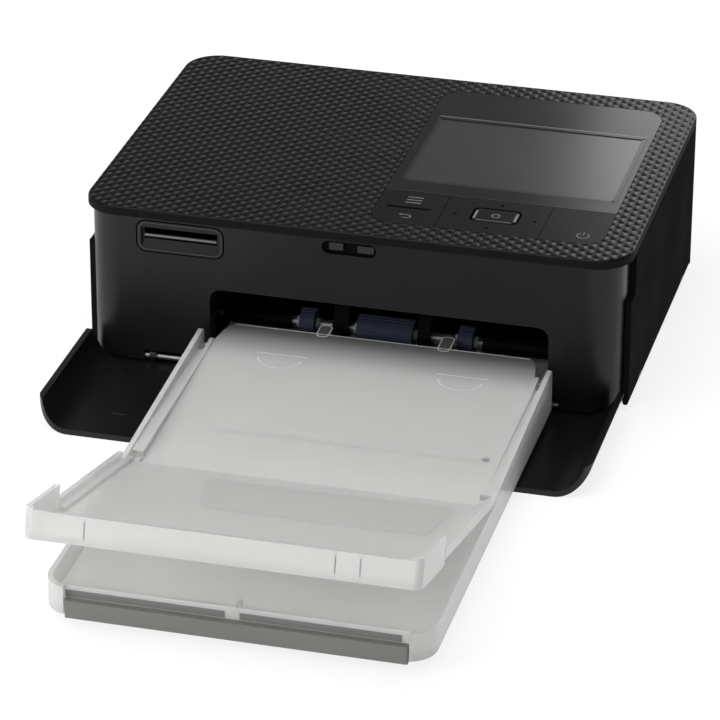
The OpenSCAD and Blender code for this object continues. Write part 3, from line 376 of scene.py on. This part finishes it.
# %% Textured top
LOZENGE_HEIGHT = 0.17
EDGE_LEVEL, EDGE_ROUGHNESS = 0.5, 0.6
top_finish = finish("textured black top", (0.006, 0.006, 0.0063), 0.25, grain=0.2, bump=0.003, specular=0.142)
top_tree = top_finish.node_tree
top_bsdf = top_tree.nodes["Principled BSDF"]
top_coords = top_tree.nodes["Texture Coordinate"]
ribs = top_tree.nodes.new("ShaderNodeGroup")
ribs.node_tree = rib_group
top_tree.links.new(top_coords.outputs["Object"], ribs.inputs["Vector"])
ribs_relief = top_tree.nodes.new("ShaderNodeBump")
ribs_relief.inputs["Distance"].default_value = LOZENGE_HEIGHT * MM
top_tree.links.new(ribs.outputs["Height"], ribs_relief.inputs["Height"])
top_tree.links.new(top_tree.nodes["Relief"].outputs["Normal"], ribs_relief.inputs["Normal"])
top_tree.links.new(ribs_relief.outputs["Normal"], top_bsdf.inputs["Normal"])
facing = top_tree.nodes.new("ShaderNodeSeparateXYZ")
top_tree.links.new(top_coords.outputs["Normal"], facing.inputs[0])
upright = calc(top_tree, "LESS_THAN", facing.outputs[2], EDGE_LEVEL)
edge_matt = calc(top_tree, "MULTIPLY", upright, EDGE_ROUGHNESS)
top_roughness = calc(top_tree, "ADD", top_tree.nodes["Roughness spread"].outputs["Result"], edge_matt)
top_tree.links.new(top_roughness, top_bsdf.inputs["Roughness"])
dress(top_finish, "top_cover")

# %% [markdown]
# The front is a satin black that mirrors the table softly. The sides have a leather grain and next to no
# shine, and the panel is glossy. The keys are silkier than the panel, so they stand out from it as darker
# fields.

# %% Case, panel, keys and window
dress(finish("satin black case", (0.005, 0.005, 0.0053), 0.36, grain=0.18, bump=0.003, specular=0.31),
      "front_bezel", "front_cover", "card_slot_frame")
dress(finish("leather-grained side", (0.0098, 0.0098, 0.01), 0.7, grain=0.5, bump=0.05, specular=0.003),
      "left_side_cover", "ink_door", "rear_cover")
dress(finish("black underside", (0.02, 0.02, 0.02), 0.6, grain=0.3, bump=0.01), "base")
dress(finish("gloss black panel", (0.006, 0.006, 0.0062), 0.21, grain=1.2, bump=0.0004, drift=0.08,
             specular=0.42), "control_panel")
dress(finish("silky black keys", (0.006, 0.006, 0.0062), 0.3, grain=0.3, bump=0.0006, drift=0.08,
             specular=0.11), "rocker_key", "nav_key", "ok_key", "power_key")
dress(finish("display window", (0.03, 0.03, 0.03), 0.22, grain=2.0, bump=0.0004, drift=0.05, specular=0.9),
      "display_window")
dress(finish("display back", (0.10, 0.11, 0.115), 0.5), "display_module")

# %% [markdown]
# The paper cassette is frosted clear plastic: light goes in and comes out again softly. A mix of
# transmission with a rough surface gives that milk-glass look and still lets dark things behind it show
# through as soft shapes. Full transmission would look like window glass, and none at all like paper.

# %% Frosted clear plastic
frosted = finish("frosted clear plastic", (0.93, 0.93, 0.92), 0.25, grain=0.16, bump=0.006, drift=0.03,
                 specular=0.4)
frosted_bsdf = frosted.node_tree.nodes["Principled BSDF"]
frosted_bsdf.inputs["Transmission Weight"].default_value = 0.5
frosted_bsdf.inputs["IOR"].default_value = 1.25
dress(frosted, "paper_tray", "output_lid", "lid_pins", "lift_plate")

# %% [markdown]
# The inner lid is the same plastic. Its rear end reaches into the dark mouth, where the clear plate looks
# grey. That grey is painted shade: a ramp along the plate mixes it in, and it stays with the plate when the
# cassette slides.

# %% Inner lid with painted shade at its rear end
SHADE_FROM, SHADE_TO = -16, 9  # millimetres behind the front face
SHADE_SHARE = 0.8
plate = frosted.copy()
plate.name = "frosted clear plate, painted shade at rear"
plate_tree = plate.node_tree
plate_place = plate_tree.nodes.new("ShaderNodeSeparateXYZ")
plate_tree.links.new(plate_tree.nodes["Texture Coordinate"].outputs["Object"], plate_place.inputs[0])
plate_shade_ramp = plate_tree.nodes.new("ShaderNodeMapRange")
plate_shade_ramp.interpolation_type = "SMOOTHSTEP"
plate_shade_ramp.inputs["From Min"].default_value = at(0, SHADE_FROM, 0).y
plate_shade_ramp.inputs["From Max"].default_value = at(0, SHADE_TO, 0).y
plate_shade_ramp.inputs["To Max"].default_value = SHADE_SHARE
plate_tree.links.new(plate_place.outputs[1], plate_shade_ramp.inputs["Value"])
# painted shade: dark grey mixed into the plate's colour towards its rear end
plate_shade_mix = plate_tree.nodes.new("ShaderNodeMix")
plate_shade_mix.data_type = "RGBA"
plate_shade_mix.inputs["B"].default_value = (0.12, 0.12, 0.118, 1)
plate_tree.links.new(plate_shade_ramp.outputs["Result"], plate_shade_mix.inputs["Factor"])
plate_tree.links.new(plate_tree.nodes["Tone"].outputs["Result"], plate_shade_mix.inputs["A"])
plate_tree.links.new(plate_shade_mix.outputs["Result"], plate_tree.nodes["Principled BSDF"].inputs["Base Color"])
dress(plate, "inner_lid")
dress(finish("satin grey bar", (0.21, 0.21, 0.20), 0.55, grain=0.3, bump=0.01), "tray_front_bar")

# %% [markdown]
# ## The works
# What shows through the mouth and behind the ink door has plain workshop finishes: steel for shafts, pins
# and screws, rubber on rollers and feet, acetal for gears, aluminium for the heat sink. Plastic inside is
# nearly black.

# %% Works
dress(finish("bright steel", (0.45, 0.455, 0.46), 0.34, grain=0.4, bump=0.002, metallic=1.0),
      "feed_shaft", "arm_rod", "platen_shaft", "capstan", "cover_hinge_rods", "door_pins", "base_screws",
      "motor", "motor_bracket", "usb_port")
dress(finish("blackened sheet steel", (0.012, 0.012, 0.0125), 0.5, grain=0.3, bump=0.004, specular=0.2),
      "chassis")
dress(finish("black rubber", (0.016, 0.016, 0.017), 0.75, grain=0.4, bump=0.02),
      "rubber_feet", "platen_roller", "pinch_roller")
dress(finish("navy rubber", (0.014, 0.021, 0.048), 0.65, grain=0.4, bump=0.02), "feed_rollers")
dress(finish("black works plastic", (0.002, 0.002, 0.002), 0.5, grain=0.3, bump=0.004, specular=0.05),
      "feed_sleeves", "feed_arm", "paper_guide", "dc_jack", "card_socket", "shaft_bushes", "cover_catch")
dress(finish("natural acetal", (0.72, 0.71, 0.66), 0.42, grain=0.4, bump=0.004),
      "feed_gear", "idler_gear", "platen_gear", "capstan_gear", "supply_drive", "takeup_drive")
dress(finish("machined brass", (0.70, 0.56, 0.30), 0.3, grain=0.3, bump=0.002, metallic=1.0), "motor_pinion")
dress(finish("glazed ceramic", (0.08, 0.085, 0.09), 0.3, grain=0.8, bump=0.002), "thermal_head")
dress(finish("drawn aluminium", (0.60, 0.61, 0.62), 0.38, grain=0.5, bump=0.003, metallic=1.0),
      "head_beam", "heat_sink")
dress(finish("ribbon shell", (0.70, 0.70, 0.67), 0.45, grain=0.3, bump=0.006), "ribbon_cassette")
dress(finish("dye film, full", (0.10, 0.06, 0.20), 0.25, grain=1.0, bump=0.002), "supply_spool")
dress(finish("dye film, used", (0.16, 0.05, 0.14), 0.25, grain=1.0, bump=0.002), "takeup_spool")
dress(finish("solder mask", (0.02, 0.11, 0.06), 0.3, grain=0.7, bump=0.01),
      "key_board", "card_board", "main_board")

# %% [markdown]
# ## Fine marks and trims
# Printed icons, edge lines and small clips are too thin for a solid of their own in the construction model.
# Each is a flat outline that is raised into a closed little solid, or a small square that is spun into an
# arc. All of them are drawn in millimetres on the surface that carries them, and a frame then lays them in
# the scene.

# %% Small shapes


def closed(mesh):
    """Faces outward, and a report if an edge is left open."""
    bmesh.ops.recalc_face_normals(mesh, faces=mesh.faces[:])
    gaps = sum(1 for edge in mesh.edges if not edge.is_manifold)
    if gaps:
        print("open edges:", gaps)
    return mesh


def raised(outline, low, high, corner=0.0, line=0.0):
    """An outline of points raised from one height to another. line keeps only a rim of that width."""
    flat = bmesh.new()
    flat.faces.new([flat.verts.new((u, v, low)) for u, v in outline])
    if corner:
        bmesh.ops.bevel(flat, geom=flat.verts[:], offset=corner, segments=5, profile=0.5, affect="VERTICES",
                        material=-1)
    if line:
        rim = bmesh.ops.inset_region(flat, faces=flat.faces[:], thickness=line, use_boundary=True,
                                     use_even_offset=True)["faces"]
        bmesh.ops.delete(flat, geom=[face for face in flat.faces if face not in rim], context="FACES_ONLY")
    lid = bmesh.ops.extrude_face_region(flat, geom=flat.faces[:], use_keep_orig=True)["geom"]
    lid_points = [v for v in lid if isinstance(v, bmesh.types.BMVert)]
    bmesh.ops.translate(flat, verts=lid_points, vec=(0, 0, high - low))
    return closed(flat)


def block(u, v, wide, deep, low, high, corner=0.0, line=0.0):
    """A raised rectangle about a centre."""
    a, b = wide / 2, deep / 2
    return raised([(u - a, v - b), (u + a, v - b), (u + a, v + b), (u - a, v + b)], low, high, corner, line)


def arc(u, v, radius, line, low, high, start=0.0, sweep=360.0, steps=28):
    """A small rectangle spun about a centre: a ring, or an arc with closed ends."""
    ring = bmesh.new()
    a = math.radians(start)
    inner, outer = radius - line / 2, radius + line / 2
    section = [ring.verts.new((u + r * math.cos(a), v + r * math.sin(a), w))
               for r, w in ((inner, low), (outer, low), (outer, high), (inner, high))]
    edges = [ring.edges.new((section[k], section[(k + 1) % 4])) for k in range(4)]
    bmesh.ops.spin(ring, geom=section + edges, cent=(u, v, 0), axis=(0, 0, 1), angle=math.radians(sweep),
                   steps=steps, use_merge=sweep >= 360)
    if sweep < 360:
        bmesh.ops.holes_fill(ring, edges=[edge for edge in ring.edges if edge.is_boundary], sides=4)
    return closed(ring)


def add_piece(name, parts, frame_of, body, material):
    """Joins small shapes, lays them in the scene and lets them ride with a body."""
    whole = bmesh.new()
    for part in parts:
        part.transform(frame_of)
        part_data = bpy.data.meshes.new("part")
        part.to_mesh(part_data)
        part.free()
        whole.from_mesh(part_data)
        bpy.data.meshes.remove(part_data)
    data = bpy.data.meshes.new(name)
    whole.to_mesh(data)
    whole.free()
    piece = bpy.data.objects.new(name, data)
    scene.collection.objects.link(piece)
    data.materials.append(material)
    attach(piece, body)
    print(name, len(data.polygons), "faces")


# %% [markdown]
# FLAT looks down on the printer, and its third axis is the height over the table. FRONT looks at the front
# face, and its third axis comes out of it. The two lids lean about their common hinge, so each has a frame
# that leans with it. SHAFT looks along the feed shaft.

# %% Frames to draw in
SCALE = Matrix.Scale(MM, 4)


def lean(angle, axis):
    """A turn in degrees about an axis."""
    return Matrix.Rotation(math.radians(angle), 4, axis)


FLAT = Matrix.Translation(at(0, 0, 0)) @ SCALE
FRONT = Matrix.Translation(at(0, 0, 0)) @ lean(90, "X") @ SCALE
HINGE = Matrix.Translation(at(*middle("lid_pins")))
OUTPUT_LID = HINGE @ lean(-14.5, "X") @ SCALE
INNER_LID = HINGE @ lean(2.75, "X") @ SCALE
_, shaft_y, shaft_z = middle("feed_shaft")
SHAFT = Matrix.Translation(at(0, shaft_y, shaft_z)) @ lean(90, "Y") @ SCALE
print("frames to draw in: FLAT, FRONT, OUTPUT_LID, INNER_LID, SHAFT")

# %% [markdown]
# ## Marks on the control panel
# The keys carry pale printed icons: three bars and a return arrow on the rocker, a ring on the middle key
# and the usual power sign. The four arrow points round the middle key are small dents, drawn flush with
# painted shade in them. Each icon is a film that stands proud of its key by a hundredth of a millimetre and
# rides on it. A painted texture would need unwrapped keys instead.

# %% Key icons
LOW, HIGH = top_z - 0.15, top_z + 0.012  # from inside the key to the top of the ink
STROKE = 0.42
BAR_STEP = 2.1
POWER_U, POWER_V = 73.5, 17.8
ARROW_WAYS = ((43.3, 33.6, 90), (29.6, 23.8, 180), (56.3, 24.1, 0), (42.1, 15.2, 270))  # place and direction
ARROW_WIDE, ARROW_DEEP = 0.85, 1.0
ok_u, ok_v, _ = middle("ok_key")
ink = finish("pale grey print", (0.16, 0.16, 0.158), 0.5, grain=0.3, bump=0.001)
# painted shade: the near-black film stands for the shade inside the arrow points' dents
dent_shade = finish("painted shade in dent", (0.0015, 0.0015, 0.0015), 0.6, grain=0.3, bump=0.001, specular=0.0)
bars = [block(14.4, 28.3 + BAR_STEP * k, 5.2, 0.62, LOW, HIGH) for k in range(3)]
return_arrow = [arc(15.0, 17.6, 1.15, STROKE, LOW, HIGH, start=-90, sweep=180, steps=10),
                block(13.8, 18.75, 2.6, STROKE, LOW, HIGH),
                block(14.2, 16.45, 1.8, STROKE, LOW, HIGH),
                raised([(11.9, 18.75), (13.0, 17.9), (13.0, 19.6)], LOW, HIGH)]
add_piece("rocker_icons", bars + return_arrow, FLAT, "rocker_key", ink)
power_sign = [arc(POWER_U, POWER_V, 1.95, STROKE, LOW, HIGH, start=122, sweep=296, steps=24),
              block(POWER_U, POWER_V + 1.5, STROKE, 2.0, LOW, HIGH)]
add_piece("power_sign", power_sign, FLAT, "power_key", ink)
add_piece("ok_ring", [arc(ok_u, ok_v, 1.3, 0.45, LOW, HIGH)], FLAT, "ok_key", ink)
points = []
for u, v, way in ARROW_WAYS:
    turns = [math.radians(way + turn_by) for turn_by in (0, 125, 235)]
    corners = [(u + ARROW_WIDE * math.cos(a), v + ARROW_DEEP * math.sin(a)) for a in turns]
    points.append(raised(corners, LOW, HIGH))
add_piece("arrow_points", points, FLAT, "nav_key", dent_shade)

# %% [markdown]
# Light catches the fine chamfers of the middle key, of the key row and of the display's far edge. That
# light is a painted highlight: a chamfer this small is drawn as a thin strip of a slightly paler, smoother
# finish. A true chamfer would be thinner than a pixel here.

# %% Painted highlights on the panel's edges
panel_u, _, _ = middle("control_panel")
panel_wide, _, _ = extent("control_panel")
screen_u, screen_v, _ = middle("display_window")
screen_wide, screen_deep, _ = extent("display_window")
far_line_v = screen_v + screen_deep / 2 + 0.4
# painted highlights: paler strips stand for the light caught on chamfers too small to model
edge_highlight = finish("painted edge highlight", (0.035, 0.035, 0.035), 0.3, grain=0.3, bump=0.0005, specular=0.7)
chamfer_highlight = finish("painted chamfer highlight", (0.22, 0.22, 0.22), 0.25, grain=0.3, bump=0.0005, specular=0.7)
border = finish("display border", (0.018, 0.018, 0.018), 0.24, grain=1.0, bump=0.0004, specular=0.5)
key_row_line = block(panel_u, 37.35, panel_wide - 0.3, 0.26, LOW, HIGH)
add_piece("key_row_line", [key_row_line], FLAT, "root", edge_highlight)
far_line = block(screen_u, far_line_v, screen_wide - 0.2, STROKE, LOW, HIGH)
add_piece("display_far_line", [far_line], FLAT, "root", chamfer_highlight)
screen_rim = block(screen_u, screen_v, screen_wide, screen_deep, LOW, HIGH, corner=0.7, line=1.5)
add_piece("display_border", [screen_rim], FLAT, "root", border)
ok_ends = [block(ok_u + 6.75 * side, ok_v, 0.75, 6.2, LOW, HIGH, corner=0.2) for side in (-1, 1)]
ok_near_edge = [block(ok_u, ok_v - 4.0, 12.0, 0.3, LOW, HIGH)]
add_piece("ok_key_ends", ok_ends + ok_near_edge, FLAT, "ok_key", chamfer_highlight)

# %% [markdown]
# ## The front: card pocket and cover catch
# The card pocket's rim and the lip between its two slits catch the light; both are painted highlights, thin
# strips paler than the case. The catch shows two grey jaws in a black slot. A short embossed line on the
# folded cover is a painted highlight too. The card's outline at the left of the pocket has no width yet: its
# face needs a normal before the rim is cut from it.

# %% Pocket, catch and card sign
RIM_INSET = 0.8  # how much smaller the rim is than the frame round the pocket
CARD_OUTLINE = [(-78.4, 46.0), (-74.8, 46.0), (-74.8, 49.6), (-75.9, 50.7), (-78.4, 50.7)]
# painted highlights: the pocket rim and the slot lip are paler strips where light catches rounded edges
rim_highlight = finish("painted rim highlight", (0.02, 0.02, 0.02), 0.3, grain=0.3, bump=0.001, specular=0.6)
lip_highlight = finish("painted lip highlight", (0.17, 0.17, 0.165), 0.4, grain=0.3, bump=0.002)
faint = finish("faint print", (0.016, 0.016, 0.016), 0.5, grain=0.3, bump=0.001, specular=0.2)
jaw_finish = finish("grey jaw", (0.018, 0.018, 0.018), 0.3, grain=0.3, bump=0.002, specular=0.5)
pocket_u, _, pocket_v = middle("card_slot_frame")
pocket_wide, _, pocket_high = extent("card_slot_frame")
pocket_rim = block(pocket_u, pocket_v, pocket_wide - RIM_INSET, pocket_high - RIM_INSET, -0.4, -0.02,
                   corner=2.7, line=0.35)
add_piece("pocket_rim", [pocket_rim], FRONT, "root", rim_highlight)
# painted highlight: a pale strip for the light on the lower lip between the slits
slot_lip = block(pocket_u, 48.4, 24.4, 0.62, -1.3, -0.75)
add_piece("slot_lip", [slot_lip], FRONT, "root", lip_highlight)
add_piece("card_sign", [raised(CARD_OUTLINE, -0.3, -0.188, line=0.4)], FRONT, "root", faint)
jaws = [block(-4.25, 52.3, 4.7, 2.5, -0.9, -0.1, corner=0.3),
        block(5.65, 52.1, 5.5, 2.4, -0.9, -0.1, corner=0.3)]
add_piece("catch_jaws", jaws, FRONT, "root", jaw_finish)
# painted highlight: the embossed line on the folded cover is drawn as a paler strip
cover_mark = block(-67.1, -38.4, 4.6, 0.5, 1.8, 2.03)
add_piece("cover_mark", [cover_mark], FLAT, "front_cover", edge_highlight)

# %% [markdown]
# ## Trims of the clear cassette
# Clear plastic shows its edges and whatever lies behind it, and here that is painted shade. The upper edge of
# the raised lid's lip is a dark thread with three ticks below it, and a field in that lid's floor is a little
# greyer where darker things show through.

# %% Trims of the raised lid
# painted shade: grey tones stand for the dark edges of clear plastic and what shows through it
clear_shade = finish("painted shade in clear plastic", (0.30, 0.30, 0.295), 0.4, grain=0.3, bump=0.002)
frosting_shade = finish("painted shade in frosting", (0.56, 0.56, 0.55), 0.5, grain=0.16, bump=0.004, drift=0.03)
add_piece("lip_thread", [block(0, -96.75, 107.0, 0.3, 8.3, 8.63)], OUTPUT_LID, "output_lid", clear_shade)
lid_shade_field = raised([(-21.5, -44.6), (48.0, -43.8), (49.2, -9.5), (-29.5, -11.5)], 1.3, 1.43, corner=2.5)
add_piece("lid_shade_field", [lid_shade_field], OUTPUT_LID, "output_lid", frosting_shade)
ticks = [block(u, -98.015, 0.4, 0.05, 1.9, 7.2) for u in (-40.9, 34.0, 41.4)]
add_piece("lip_ticks", ticks, OUTPUT_LID, "output_lid", clear_shade)

# %% [markdown]
# The inner lid has two half-moons where a thumb presses, their lines drawn with painted shade, and a
# painted highlight along its rear edge and round two catches that reach into the mouth. A line of painted
# shade runs across its middle, with one dark spot of painted shade. They lie on its upper face and stand
# proud by a few hundredths.

# %% Trims of the inner lid
SUNK, PROUD = -0.3, 0.02
MOON_RADIUS, MOON_LINE, MOON_SUNK = 7.6, 0.4, -0.2
# painted highlight and painted shade: pale and grey strips stand for light and shade on the clear plate
glint = finish("painted highlight on clear edges", (0.88, 0.88, 0.88), 0.3, grain=0.3, bump=0.001)
press_shade = finish("painted shade in pressed lines", (0.66, 0.66, 0.655), 0.4, grain=0.16, bump=0.004)
moons = []
for u, v in ((-29.5, 77.3), (31.0, 77.3)):
    moons.append(arc(u, v - 1.2, MOON_RADIUS, MOON_LINE, MOON_SUNK, PROUD, start=195, sweep=150, steps=20))
    moons.append(block(u, v, 17.0, MOON_LINE, MOON_SUNK, PROUD))
add_piece("press_marks", moons, INNER_LID, "inner_lid", press_shade)
rear_edge = [block(0, 93.75, 100.0, 0.4, SUNK, PROUD)]
for u, reach in ((-20.2, 5.9), (20.9, 7.9)):
    rear_edge.append(block(u, 93 + reach / 2, 4.4, 1.9 + reach, SUNK, PROUD, corner=1.7, line=0.4))
add_piece("inner_lid_rear_edge", rear_edge, INNER_LID, "inner_lid", glint)
# painted shade: a grey line across the plate and a dark spot at its right end
add_piece("inner_lid_shade_line", [block(4.9, 27.3, 90.0, 1.4, SUNK, 0.01)], INNER_LID, "inner_lid", frosting_shade)
lid_stop = arc(50.2, 28.3, 0.65, 1.28, SUNK, 0.03)
add_piece("inner_lid_stop", [lid_stop], INNER_LID, "inner_lid", clear_shade)

# %% [markdown]
# A dark strip of painted shade runs behind the cassette's front wall in two lengths, just over the grey bar,
# where the bar shows through. The bar's own upper edge carries a painted highlight.

# %% Trims of the cassette's front
# painted shade: two grey strips stand for the bar's dark seen through the clear front wall
wall_shade = finish("painted shade behind clear wall", (0.22, 0.22, 0.215), 0.5, grain=0.3, bump=0.004)
strips = [block(u, 10.2, 49.0, 2.3, 165.35, 165.47) for u in (-18.3, 35.2)]
add_piece("wall_shade_strips", strips, FRONT, "paper_cassette", wall_shade)
bar_u, bar_y, bar_v = middle("tray_front_bar")
bar_wide, bar_deep, bar_high = extent("tray_front_bar")
bar_front = bar_deep / 2 - bar_y
# painted highlight: a pale strip along the bar's upper front edge
bar_glint = block(bar_u, bar_v + bar_high / 2 - 0.18, bar_wide - 0.6, 0.3, bar_front - 0.1, bar_front + 0.005)
add_piece("bar_glint", [bar_glint], FRONT, "paper_cassette", lip_highlight)

# %% [markdown]
# ## Pale hubs on the feed shaft
# A short pale hub holds each end of a blue roller on its shaft. A ring spun about the shaft is all it
# needs, and it turns with the rollers.

# %% Roller hubs
ROLLERS = ((-20.9, 5.0), (-1.3, 19.0), (33.1, 5.0))  # start and length of each, along the shaft
HUB_RADIUS, HUB_WALL, HUB_HALF = 1.72, 0.5, 0.7
HUB_GAP = 0.75  # from a roller's end to the middle of its hub
hub_finish = finish("pale hub", (0.30, 0.30, 0.285), 0.4, grain=0.3, bump=0.002)
hubs = []
for start, length in ROLLERS:
    for place in (start - HUB_GAP, start + length + HUB_GAP):
        hubs.append(arc(0, 0, HUB_RADIUS, HUB_WALL, place - HUB_HALF, place + HUB_HALF))
add_piece("roller_hubs", hubs, SHAFT, "feed", hub_finish)
